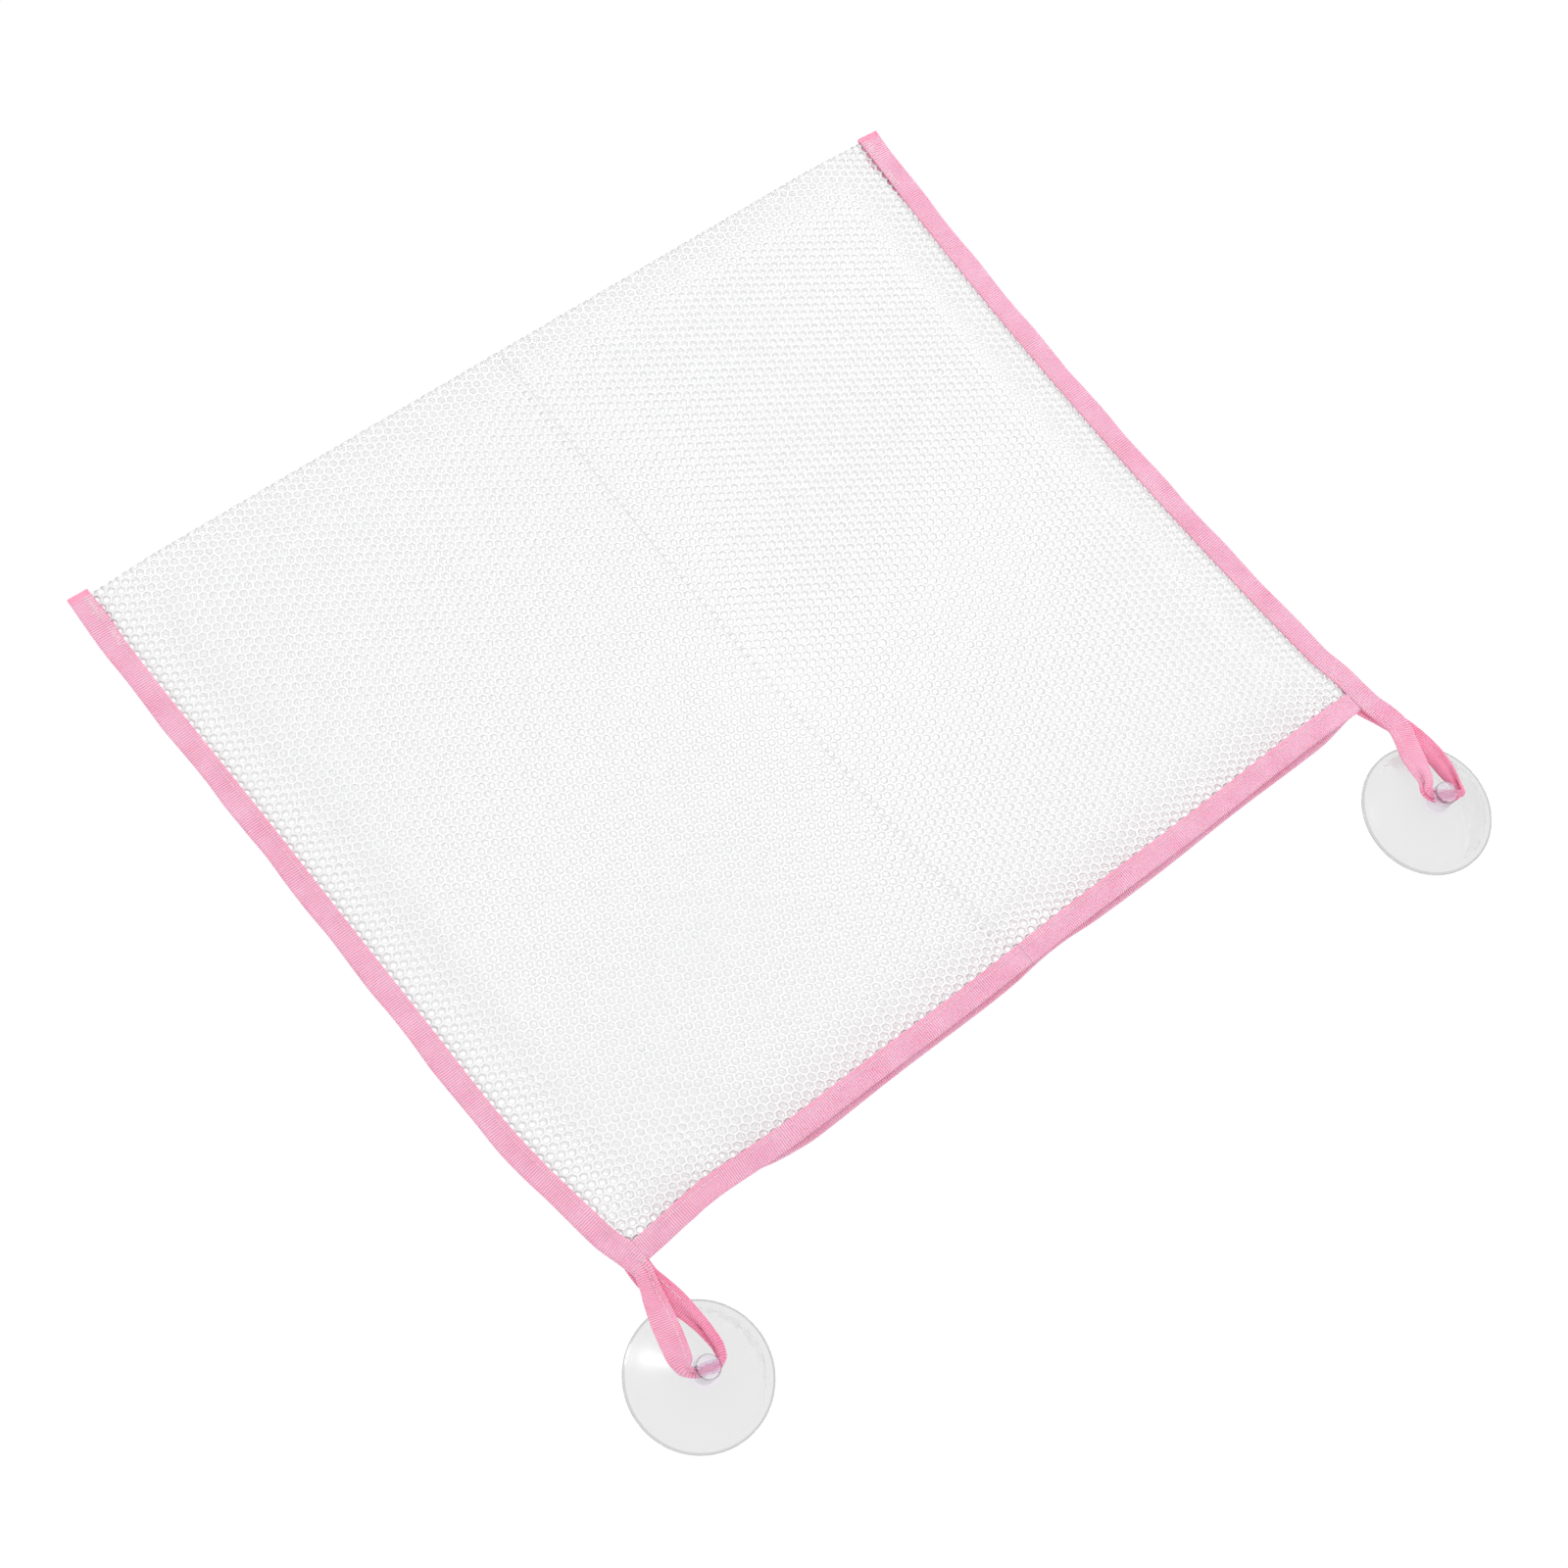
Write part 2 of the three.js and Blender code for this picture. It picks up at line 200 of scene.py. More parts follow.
def lay(across, down):
    """Where a point of the flat bag lies: across from its middle, down from the mouth."""
    share = down / BAG_DEPTH
    side = across / HALF_WIDTH
    half = (BAG_WIDTH - MOUTH_DRAW_IN * (1 - share)) / 2
    x = MOUTH_X + bag_middle(share) + side * half + sway(side, share)
    y = MOUTH_Y + down - FOLD_LEAN * side * share
    return x, y


def seam_climb(across):
    return smoothstep((HALF_WIDTH - SIDE_FOLD - np.abs(across)) / BILLOW_RUN)


def front_height(across, down):
    """Height of the front layer above the floor."""
    wave = np.sin(across / (31 * MM) + 1.2 * np.sin(down / (57 * MM)))
    wave += 0.6 * np.sin(down / (24 * MM) - across / (83 * MM))
    billow = (POCKET_RISE + WAVE_HEIGHT * wave) * smoothstep((BAG_DEPTH - down) / BILLOW_RUN)
    pinch = PINCH_SHARE * bump(across, PINCH, PINCH_WIDTH) * bump(down, 0, PINCH_DEPTH)
    return FRONT_NET_Z + seam_climb(across) * (FOLD_LIFT + billow) * (1 - pinch)


def front_edge(across):
    """How far inside the mouth's line the front lip's edge lies."""
    ripple = LIP_RIPPLE * np.sin(across / (21 * MM))
    return bumps(across, FRONT_LIP_BUMPS) - FRONT_LIP_DROP + ripple


def rear_edge(across):
    """The same for the rear lip, which lies further out."""
    ripple = LIP_RIPPLE * np.sin(across / (16 * MM))
    return bumps(across, REAR_LIP_BUMPS) - REAR_LIP_DROP + ripple


def front_lip_height(across):
    tucked = smoothstep((np.abs(across) - LIP_END + TUCK_START) / TUCK_RUN)
    return front_height(across, LIP_FOLD / 2) - TUCK_DROP * tucked


def rear_lip_height(across):
    return REAR_NET_Z


# Making meshes

def make_piece(name, points, faces, material, measures=None):
    mesh = bpy.data.meshes.new(name)
    mesh.from_pydata(np.asarray(points).tolist(), [], [list(face) for face in faces])
    mesh.polygons.foreach_set("use_smooth", np.ones(len(mesh.polygons), dtype=bool))
    for key, values in (measures or {}).items():
        mesh.attributes.new(key, "FLOAT", "POINT").data.foreach_set("value", values.astype(np.float32))
    mesh.materials.append(material)
    mesh.update()
    piece = bpy.data.objects.new(name, mesh)
    bpy.context.scene.collection.objects.link(piece)
    return piece


def tube_faces(rings, around):
    """Faces of a tube through rings of points, without its ends."""
    ring, spoke = np.meshgrid(np.arange(rings - 1), np.arange(around), indexing="ij")
    here = (ring * around + spoke).ravel()
    beside = (ring * around + (spoke + 1) % around).ravel()
    return np.stack([here, beside, beside + around, here + around], axis=1)


# Materials

class Graph:
    """A material's nodes: add() makes one and sets or links its inputs."""

    def __init__(self, name):
        self.material = bpy.data.materials.new(name)
        self.material.use_nodes = True
        self.tree = self.material.node_tree
        self.shader = self.tree.nodes["Principled BSDF"]

    def put(self, node, inputs):
        for key, value in inputs.items():
            socket = node.inputs[key]
            if isinstance(value, bpy.types.NodeSocket):
                self.tree.links.new(value, socket)
            else:
                socket.default_value = value

    def add(self, kind, settings=None, inputs=None, output=0):
        node = self.tree.nodes.new("ShaderNode" + kind)
        for key, value in (settings or {}).items():
            setattr(node, key, value)
        self.put(node, inputs or {})
        return node.outputs[output]

    def maths(self, operation, first, second=0.0, third=0.0):
        return self.add("Math", {"operation": operation}, {0: first, 1: second, 2: third})

    def noise(self, scale, detail=3.0):
        place = self.add("TexCoord", output="Object")
        return self.add("TexNoise", None, {"Vector": place, "Scale": scale, "Detail": detail})

    def blend(self, share, low, high):
        """From one colour to another, each three numbers or a socket."""
        low, high = (c if isinstance(c, bpy.types.NodeSocket) else (*c, 1) for c in (low, high))
        return self.add("Mix", {"data_type": "RGBA"}, {0: share, 6: low, 7: high}, output=2)

    def measure(self, name):
        """A named measure of the mesh."""
        return self.add("Attribute", {"attribute_name": name}, output="Fac")

    def wave(self, name, pitch):
        """0 to 1 and back once every pitch along a named measure of the mesh."""
        turn = self.maths("MULTIPLY", self.measure(name), 2 * math.pi / pitch)
        return self.maths("MULTIPLY_ADD", self.maths("COSINE", turn), 0.5, 0.5)

    def bump(self, height, distance, strength=1.0):
        return self.add("Bump", None, {"Height": height, "Distance": distance, "Strength": strength})


def tape_material(shaded_groove, ridge, deep_shaded_groove, deep_shaded_ridge):
    """Ribbed tape with painted shade: grooves darker than ridges as shade between the ribs, and a deeper,
    darker pink as shade on loops and turned faces; cut ends take the deeper pink too.
    """
    graph = Graph("pink_tape")
    rib = graph.wave("along", RIB_PITCH)
    yarn = graph.wave("across", YARN_PITCH)
    patchy = graph.noise(90)
    # Painted shade: the ribs' grooves take the darker colour, with random patches of tone mixed in
    shade = graph.maths("MULTIPLY_ADD", patchy, 0.55, graph.maths("MULTIPLY", rib, 0.62))
    face = graph.blend(shade, shaded_groove, ridge)
    # The deeper, darker pink painted as shade, where the mesh's measure asks for it
    deep_shaded_face = graph.blend(shade, deep_shaded_groove, deep_shaded_ridge)
    weave = graph.maths("ADD", rib, graph.maths("MULTIPLY", yarn, 0.35))
    graph.put(graph.shader, {
        "Base Color": graph.blend(graph.measure("deeper_pink_and_painted_shade"), face, deep_shaded_face),
        "Roughness": graph.maths("MULTIPLY_ADD", patchy, 0.2, 0.62),
        "Normal": graph.bump(weave, 0.12 * MM, 0.7),
        "Specular IOR Level": 0.3,
        "Subsurface Weight": 0.8,
        "Subsurface Radius": (1, 0.4, 0.55),
        "Subsurface Scale": 1.0 * MM,
    })
    return graph.material


def net_material(low, high):
    graph = Graph("net_yarn")
    patchy = graph.noise(55)
    fine = graph.noise(1900, 2.0)
    graph.put(graph.shader, {
        "Base Color": graph.blend(patchy, low, high),
        "Roughness": graph.maths("MULTIPLY_ADD", fine, 0.25, 0.45),
        "Normal": graph.bump(fine, 0.12 * MM, 0.6),
        "Subsurface Weight": 1.0,
        "Subsurface Radius": (1, 1, 1),
        "Subsurface Scale": 2.2 * MM,
    })
    return graph.material


def thread_material(name, low, high):
    graph = Graph(name)
    fine = graph.noise(1500, 2.0)
    graph.put(graph.shader, {
        "Base Color": graph.blend(fine, low, high),
        "Roughness": graph.maths("MULTIPLY_ADD", fine, 0.2, 0.4),
        "Normal": graph.bump(fine, 0.1 * MM, 0.6),
        "Sheen Weight": 0.3,
    })
    return graph.material


def clear_material(name, face_on, painted_edge_shade, least_rough, clearness=1.0):
    """Clear soft plastic, with painted shade: its colour darkens where it is seen edge-on, standing in for
    the dark outlines that clear plastic shows at its edges.
    """
    graph = Graph(name)
    cloudy = graph.noise(45)
    slant = graph.add("LayerWeight", None, {"Blend": 0.5}, output="Facing")
    graph.put(graph.shader, {
        "Base Color": graph.blend(graph.maths("POWER", slant, 3.0), face_on, painted_edge_shade),
        "Roughness": graph.maths("MULTIPLY_ADD", cloudy, 0.08, least_rough),
        "Normal": graph.bump(cloudy, 0.4 * MM, 0.25),
        "Transmission Weight": clearness,
        "IOR": 1.48,
        "Alpha": 0.5,
    })
    soak = graph.add("VolumeAbsorption", None, {"Color": (0.5, 0.5, 0.5, 1), "Density": 16.0})
    graph.tree.links.new(soak, graph.tree.nodes["Material Output"].inputs["Volume"])
    return graph.material


def floor_material():
    """A lit table: white from below, so that nothing on it throws a shadow."""
    graph = Graph("light_table")
    graph.put(graph.shader, {
        "Base Color": (0.02, 0.02, 0.02, 1),
        "Roughness": 1.0,
        "Specular IOR Level": 0.0,
        "Emission Color": (1, 1, 1, 1),
        "Emission Strength": 1.0,
    })
    return graph.material


# The grooves and the deep colours below are painted shade
TAPE = tape_material(
    shaded_groove=(0.72, 0.22, 0.355),
    ridge=(1.0, 0.58, 0.715),
    deep_shaded_groove=(0.78, 0.15, 0.28),
    deep_shaded_ridge=(1.0, 0.40, 0.56),
)
NET = net_material((0.985, 0.985, 0.99), (0.998, 0.998, 0.998))
THREAD = thread_material("seam_thread", (0.82, 0.44, 0.55), (0.96, 0.68, 0.76))
TACK_THREAD = thread_material("tack_thread", (0.92, 0.62, 0.69), (0.99, 0.80, 0.85))
# Each clear material darkens edge-on as painted shade
CLEAR = clear_material("clear_moulding", (0.66, 0.66, 0.665), (0.12, 0.12, 0.125), 0.2)
# Painted shade: a dark band for the lines that the rim's and knob's edges show
CLEAR_PAINTED_EDGE_LINE = clear_material("clear_painted_edge_line", (0.24, 0.24, 0.25), (0.1, 0.1, 0.11), 0.1)
# Painted light: the knob is only 0.7 clear, and its lilac-white diffuse share lightens it in place of light
# on the tape seen through it and the white its top reflects
CLEAR_KNOB = clear_material("clear_knob", (0.95, 0.82, 1.0), (0.12, 0.11, 0.13), 0.03, 0.7)


# The net

def sheet(across, length, lift):
    """A point of the net: across, and its length from the front mouth over the fold to the rear mouth."""
    turn = np.clip((length - FOLD_START) / FOLD_ARC, 0, 1) * math.pi
    front = length < FOLD_START
    turning = (turn > 0) & (turn < math.pi)
    down = np.where(front, length, FOLD_START - (length - FOLD_START - FOLD_ARC))
    down = np.where(turning, FOLD_START, down)
    lip_shift = np.where(front, front_edge(across), rear_edge(across) + REAR_LIP_DROP)
    down = down + lip_shift * (1 - smoothstep(down / BILLOW_RUN))
    fold_radius = (FRONT_NET_Z + seam_climb(across) * FOLD_LIFT - REAR_NET_Z) / 2
    x, y = lay(across, down)
    y = y + (fold_radius + lift) * np.sin(turn)
    flat_z = np.where(front, front_height(across, down) + lift, REAR_NET_Z - lift)
    fold_z = REAR_NET_Z + fold_radius + (fold_radius + lift) * np.cos(turn)
    return np.stack([x, y, np.where(turning, fold_z, flat_z)], axis=-1)


def net_piece(name, from_across, to_across, from_length, to_length):
    """One part of the net as a closed mesh: all the yarns whose middles lie between the limits, and between
    two yarns that meet at a knot the corner of a hole."""
    column_pitch = CELL_PITCH * math.sqrt(3) / 2
    columns = np.arange(math.floor(from_across / column_pitch) - 1, math.ceil(to_across / column_pitch) + 2)
    rows = np.arange(math.floor(from_length / CELL_PITCH) - 1, math.ceil(to_length / CELL_PITCH) + 2)
    column, row = (grid.ravel() for grid in np.meshgrid(columns, rows, indexing="ij"))
    step = np.array([CELL_PITCH / (2 * math.sqrt(3)), CELL_PITCH / 2])
    corner_steps = np.array([(2, 0), (1, 1), (-1, 1), (-2, 0), (-1, -1), (1, -1)])
    centre = np.stack([3 * column, 2 * row + column % 2], axis=1)
    corners = centre[:, None] + corner_steps
    middle = (corners + np.roll(corners, -1, axis=1)) / 2 * step
    low, high = (from_across, from_length), (to_across, to_length)
    kept = np.all((middle >= low) & (middle < high), axis=-1)

    knots, knot_of = np.unique(corners.reshape(-1, 2), axis=0, return_inverse=True)
    knot_of = knot_of.reshape(-1, 6)
    across, length = (knots * step).T
    top = sheet(across, length, YARN_HALF)
    bottom = sheet(across, length, -YARN_HALF)
    hole = (centre[:, None] + HOLE_SHARE * corner_steps) * step
    inner = sheet(hole[..., 0], hole[..., 1], 0.0).reshape(-1, 3)
    points = np.concatenate([top, bottom, inner])

    count = len(knots)
    inner_of = 2 * count + np.arange(knot_of.size).reshape(-1, 6)
    knot_next = np.roll(knot_of, -1, axis=1)
    inner_next = np.roll(inner_of, -1, axis=1)
    upper = np.stack([knot_of, knot_next, inner_next, inner_of], axis=-1)[kept]
    lower = np.stack([knot_next + count, knot_of + count, inner_of, inner_next], axis=-1)[kept]
    end = np.stack([knot_of, inner_of, knot_of + count], axis=-1)
    before = np.roll(kept, 1, axis=1)
    faces = [*upper, *lower, *end[kept & ~before], *end[before & ~kept][:, ::-1]]
    used = np.unique(np.concatenate(faces))
    return make_piece(name, points[used], [np.searchsorted(used, face) for face in faces], NET)


# Tape

def smooth_path(rows, step):
    """Rows of controls, x y z first, joined by one smooth curve and resampled evenly along it."""
    rows = np.array(rows, float)
    chord = np.r_[0, np.cumsum(np.linalg.norm(np.diff(rows[:, :3], axis=0), axis=1))]
    slope = np.gradient(rows, chord, axis=0)
    fine = np.linspace(0, chord[-1], 60 * len(rows))
    i = np.clip(np.searchsorted(chord, fine, side="right") - 1, 0, len(rows) - 2)
    span = (chord[i + 1] - chord[i])[:, None]
    t = (fine - chord[i])[:, None] / span
    line = (2 * t**3 - 3 * t**2 + 1) * rows[i] + (3 * t**2 - 2 * t**3) * rows[i + 1]
    line += span * ((t**3 - 2 * t**2 + t) * slope[i] + (t**3 - t**2) * slope[i + 1])
    length = np.r_[0, np.cumsum(np.linalg.norm(np.diff(line[:, :3], axis=0), axis=1))]
    along = np.linspace(0, length[-1], round(length[-1] / step) + 1)
    return along, np.stack([np.interp(along, length, column) for column in line.T], axis=1)


def unit(vectors):
    return vectors / np.linalg.norm(vectors, axis=1, keepdims=True)


def tape_path(rows):
    """Stations along a folded tape, from rows of x, y, z, width, tilt in degrees, the gap between its plies
    and how far its lower ply reaches past the upper one."""
    along, values = smooth_path(rows, RIB_PITCH / RIB_STEPS)
    place = values[:, :3]
    width, tilt, gap, under = values[:, 3:].T
    ahead = unit(np.gradient(place, axis=0))
    level = unit(np.cross(ahead, (0, 0, 1)))
    up = np.cross(level, ahead)
    turn = np.radians(tilt)[:, None]
    wide = np.cos(turn) * level + np.sin(turn) * up
    # Painted shade: faces that turn over, as the loops' rear legs do, and the loops off the bag take a deeper
    # pink in place of the shade they lie in
    turned_over = smoothstep((-tilt - TURNED_FROM) / (TURNED_TO - TURNED_FROM))
    off_the_bag = smoothstep((MOUTH_Y - place[:, 1]) / LOOP_FADE)
    return SimpleNamespace(
        along=along,
        place=place,
        wide=wide,
        face=np.cross(wide, ahead),
        width=width,
        gap=gap,
        under=under,
        deeper_pink_and_painted_shade=np.maximum(turned_over, LOOP_SHADE * off_the_bag),
    )


def folded_line(path, fold_side):
    """The middle line across each station: along the lower ply, round the fold, back along the upper."""
    turn = np.linspace(-math.pi / 2, math.pi / 2, 7)
    flat = np.linspace(0, 1, 10)[:-1]
    radius = path.gap[:, None] / 2
    reach = path.width[:, None] - radius
    start = -path.under[:, None]
    lower = np.stack([start + flat * (reach - start), -radius + 0 * flat], axis=-1)
    bend = np.stack([reach + radius * np.cos(turn), radius * np.sin(turn)], axis=-1)
    upper = np.stack([flat[::-1] * reach, radius + 0 * flat], axis=-1)
    line = np.concatenate([lower, bend, upper], axis=1)
    height = PLEAT_HEIGHT * smoothstep(2 - 2 * path.width / SIDE_FOLD)[:, None]
    phase = PLEAT_TURN * line[..., 0] / path.width[:, None]
    slope = -height * PLEAT_TURN / path.width[:, None] * np.sin(phase)
    steep = np.sqrt(1 + slope**2)
    lean = line[..., 1] / steep
    across = line[..., 0] - slope * lean - path.width[:, None] / 2
    return np.stack([fold_side * across, height * np.cos(phase) + lean], axis=-1)


def tape(name, path, fold_side=1, smooth_end=0.0):
    """A ribbed tape, folded in half along its length, as one closed mesh."""
    line = folded_line(path, fold_side)
    along_line = unit(np.gradient(line, axis=1).reshape(-1, 2)).reshape(line.shape)
    outward = np.stack([along_line[..., 1], -along_line[..., 0]], axis=-1) * fold_side
    ribbed = np.maximum(path.along, smooth_end)
    rib = RIB_HEIGHT * np.cos(2 * math.pi * ribbed / RIB_PITCH)
    half = (TAPE_THICKNESS / 2 + rib)[:, None, None]
    ring = np.concatenate([line + outward * half, (line - outward * half)[:, ::-1]], axis=1)
    points = path.place[:, None] + ring[..., :1] * path.wide[:, None] + ring[..., 1:] * path.face[:, None]
    rings, around = ring.shape[:2]
    side = np.arange(around // 2 - 1)
    cap = np.stack([side, side + 1, around - 2 - side, around - 1 - side], axis=1)
    faces = np.concatenate([tube_faces(rings, around)[:, ::-1], cap, cap[:, ::-1] + (rings - 1) * around])
    if fold_side < 0:
        faces = faces[:, ::-1]
    at_end = END_SHADE * smoothstep((smooth_end - path.along) / END_FADE)
    ply = np.linspace(0, 2 * SIDE_FOLD, around // 2)
    measures = {
        "along": np.repeat(ribbed, around),
        "across": np.tile(np.r_[ply, ply[::-1]], rings),
        "deeper_pink_and_painted_shade": np.repeat(np.maximum(path.deeper_pink_and_painted_shade, at_end), around),
    }
    piece = make_piece(name, points.reshape(-1, 3), faces, TAPE, measures)
    return piece


# Thread

def thread(name, strokes, material=THREAD):
    """Separate stitches, each from one point to another, sunk at both ends into the face under it."""
    start, end, up = (np.array(column) for column in zip(*strokes))
    ahead = unit(end - start)
    side = np.cross(up, ahead)
    # Where each ring lies along a stitch, from one end to the other, and how fat the thread is there
    share = np.array([-1, -0.75, -0.3, 0.3, 0.75, 1])
    fat = THREAD_RADIUS * np.array([0.4, 0.85, 1, 1, 0.85, 0.4])
    turn = np.linspace(0, 2 * math.pi, 6, endpoint=False)
    hub = (start + end)[:, None] / 2 + share[:, None] * (end - start)[:, None] / 2
    hub = hub - 1.2 * THREAD_RADIUS * share[:, None] ** 4 * up[:, None]
    spoke = np.cos(turn)[:, None] * side[:, None] + np.sin(turn)[:, None] * up[:, None]
    points = hub[:, :, None] + fat[:, None, None] * spoke[:, None]
    rings, around = len(share), len(turn)
    ends = [np.arange(around)[::-1], np.arange(around) + (rings - 1) * around]
    faces = []
    for first in range(0, len(strokes) * rings * around, rings * around):
        faces += (tube_faces(rings, around) + first).tolist()
        faces += [(cap + first).tolist() for cap in ends]
    piece = make_piece(name, points.reshape(-1, 3), faces, material)
    return piece


def station(path, along):
    return int(np.searchsorted(path.along, along).clip(0, len(path.along) - 1))


def on_tape(path, along, across, face_side):
    """A point on a tape's face, and the way that the face looks there."""
    i = station(path, along)
    up = face_side * path.face[i]
    lift = path.gap[i] / 2 + TAPE_THICKNESS / 2 + 0.5 * THREAD_RADIUS
    return path.place[i] + across * path.wide[i] + lift * up, up


def seam(path, fold_side, first):
    """A row of stitches near a folded tape's open edge, on both faces."""
    strokes = []
    for along in np.arange(first, path.along[-1] - STITCH_LENGTH, STITCH_PITCH):
        across = -fold_side * (path.width[station(path, along)] / 2 - STITCH_INSET)
        for face_side in (1, -1):
            start, up = on_tape(path, along, across, face_side)
            end, _ = on_tape(path, along + STITCH_LENGTH, across, face_side)
            strokes.append((start, end, up))
    return strokes


def tack(path, fold_side, first, last, far, count):
    """Stitches sewn to and fro across a tape, from near its open edge to a distance from it."""
    strokes = []
    for along in np.linspace(first, last, count):
        edge = -fold_side * path.width[station(path, along)] / 2
        reach = [
            edge + fold_side * (distance + random.uniform(-TACK_STRAY, TACK_STRAY))
            for distance in (TACK_NEAR, far)
        ]
        skew = random.uniform(-TACK_SKEW, TACK_SKEW) * (last - first) / count
        start, up = on_tape(path, along - skew, reach[0], 1)
        end, _ = on_tape(path, along + skew, reach[1], 1)
        strokes.append((start, end, up))
    return strokes


def dashes(path, along):
    """Stitches in line across a tape's upper face."""
    half = path.width[station(path, along)] / 2
    limits = np.linspace(-half, half, CORNER_DASHES + 1)
    strokes = []
    for low, high in zip(limits[:-1], limits[1:]):
        space = DASH_SPACE * (high - low)
        start, up = on_tape(path, along, low + space, 1)
        end, _ = on_tape(path, along, high - space, 1)
        strokes.append((start, end, up))
    return strokes


# Loops, through the knob's eye and back: x, y, z from the mouth's middle and width in mm, tilt in degrees

LEFT_LOOP = [
    (-208.6, 4.0, 1.6, 9.6, 0),
    (-207.9, -4.5, 2.4, 7.8, 0),
    (-209.2, -9.0, 3.6, 7.6, 0),
    (-212.2, -16.5, 6.6, 9.0, -4),
    (-215.6, -25.5, 10.6, 10.2, -8),
    (-218.6, -34.0, 14.0, 10.2, -10),
    (-220.8, -40.5, 16.2, 9.2, -24),
    (-221.6, -45.6, 17.2, 6.8, -54),
    (-219.2, -48.1, 17.3, 4.6, -64),
    (-215.5, -49.4, 17.3, 4.6, -64),
    (-211.7, -50.8, 17.3, 4.6, -70),
    (-208.6, -50.0, 17.3, 4.4, -88),
    (-206.6, -46.0, 16.7, 4.6, -104),
    (-205.7, -39.2, 14.8, 5.2, -120),
    (-205.4, -31.2, 11.4, 6.6, -140),
    (-206.0, -22.1, 7.7, 8.8, -162),
    (-207.0, -12.5, 3.1, 9.6, -176),
    (-207.8, -7.0, 1.0, 10.0, -180),
    (-207.7, -3.2, 0.6, 10.0, -180),
    (-207.4, 1.0, 0.35, 10.0, -180),
]
RIGHT_LOOP = [
    (206.3, 4.0, 1.6, 10.2, 0),
    (207.0, -4.5, 2.5, 10.2, 0),
    (208.2, -11.0, 3.6, 10.4, 0),
    (208.4, -18.0, 4.8, 10.4, -2),
    (205.3, -24.9, 7.2, 10.2, -4),
    (200.5, -32.1, 10.8, 10.2, -8),
    (196.9, -38.4, 14.0, 8.4, -20),
    (193.8, -44.8, 16.2, 5.6, -46),
    (190.4, -48.7, 17.2, 4.6, -72),
    (191.2, -51.9, 17.3, 4.4, -72),
    (194.2, -54.4, 17.3, 4.6, -64),
    (198.2, -56.8, 17.3, 4.6, -76),
    (202.4, -58.0, 17.2, 4.8, -100),
    (204.2, -53.6, 16.3, 6.0, -116),
    (205.8, -48.1, 14.7, 7.2, -134),
    (207.8, -41.8, 12.2, 7.8, -148),
    (209.5, -34.4, 9.1, 8.4, -162),
    (210.6, -25.3, 5.0, 9.6, -175),
    (209.8, -16.0, 1.9, 10.0, -180),
    (206.6, -7.0, 1.0, 10.0, -180),
    (205.0, -3.2, 0.6, 10.0, -180),
    (203.6, 1.0, 0.35, 10.0, -180),
]


def side_rows(side, loop, under, width, past_fold):
    """Controls of one side tape from the fold to the mouth, and on round its loop."""
    end = BAG_DEPTH + past_fold
    rows = []
    for down in np.linspace(end, SIDE_END, SIDE_POINTS):
        ripple = SIDE_RIPPLE * math.sin(down / SIDE_RIPPLE_RUN + side)
        x, y = lay(side * (HALF_WIDTH - width / 2), down)
        flat = smoothstep((down - BAG_DEPTH + FLAT_LENGTH) / FLAT_FADE)
        middle = (REAR_NET_Z + FRONT_NET_Z) / 2 + FLAT_LIFT * flat
        gap = BAG_GAP - 2 * FLAT_LIFT * flat
        reach = under * flat * smoothstep((end - down) / UNDER_FADE) - SET_BACK * (1 - flat)
        rows.append((x + side * ripple / 2, y, middle, width + ripple, 0, gap, reach))
    gaps = [*ROOT_GAPS] + [LOOP_GAP] * (len(loop) - len(ROOT_GAPS))
    for (x, y, z, width, tilt), gap in zip(loop, gaps):
        rows.append((MOUTH_X + x * MM, MOUTH_Y + y * MM, z * MM, width * MM, tilt, gap, 0))
    return rows


def lip_rows(edge, height, width, from_across, to_across):
    """Controls of one mouth tape, whose fold lies at the mouth."""
    rows = []
    for across in np.linspace(from_across, to_across, LIP_POINTS):
        x, y = lay(across, edge(across) + width / 2)
        rows.append((x, y, height(across), width, 0, LIP_GAP, 0))
    return rows


# Suction cups

CUP_RADIUS = 30 * MM
RIM_LAND = 2.5 * MM
RIM_THICKNESS = 1.2 * MM
RIM_ROUND = 0.5 * MM
RIM_LINE = 0.8 * MM  # width of the rim's band painted darker, as shade for the dark line that its edge shows
DOME_HEIGHT = 11.5 * MM
HOLLOW_HEIGHT = 7.5 * MM
DOME_BEND = (15 * MM, 9.2 * MM)  # corner that the dome's curve is drawn towards
HOLLOW_BEND = (17 * MM, 7.2 * MM)
KNOB_RADIUS = 5.1 * MM
KNOB_TOP = 23 * MM
KNOB_FILLET = 1.5 * MM
KNOB_EDGE = 1.2 * MM
# Width of the knob's top edge band painted darker, as shade for its edge line
KNOB_LINE = 0.5 * MM
EYE_RADIUS = 2.6 * MM
SHARP_ANGLE = 40  # degrees from which an edge looks sharp


def curve(start, corner, end, steps):
    """Points of a smooth bend from start to end, drawn towards a corner."""
    t = np.linspace(0, 1, steps)[:, None]
    bend = (1 - t) ** 2 * np.array(start) + 2 * t * (1 - t) * np.array(corner) + t**2 * np.array(end)
    return bend.tolist()


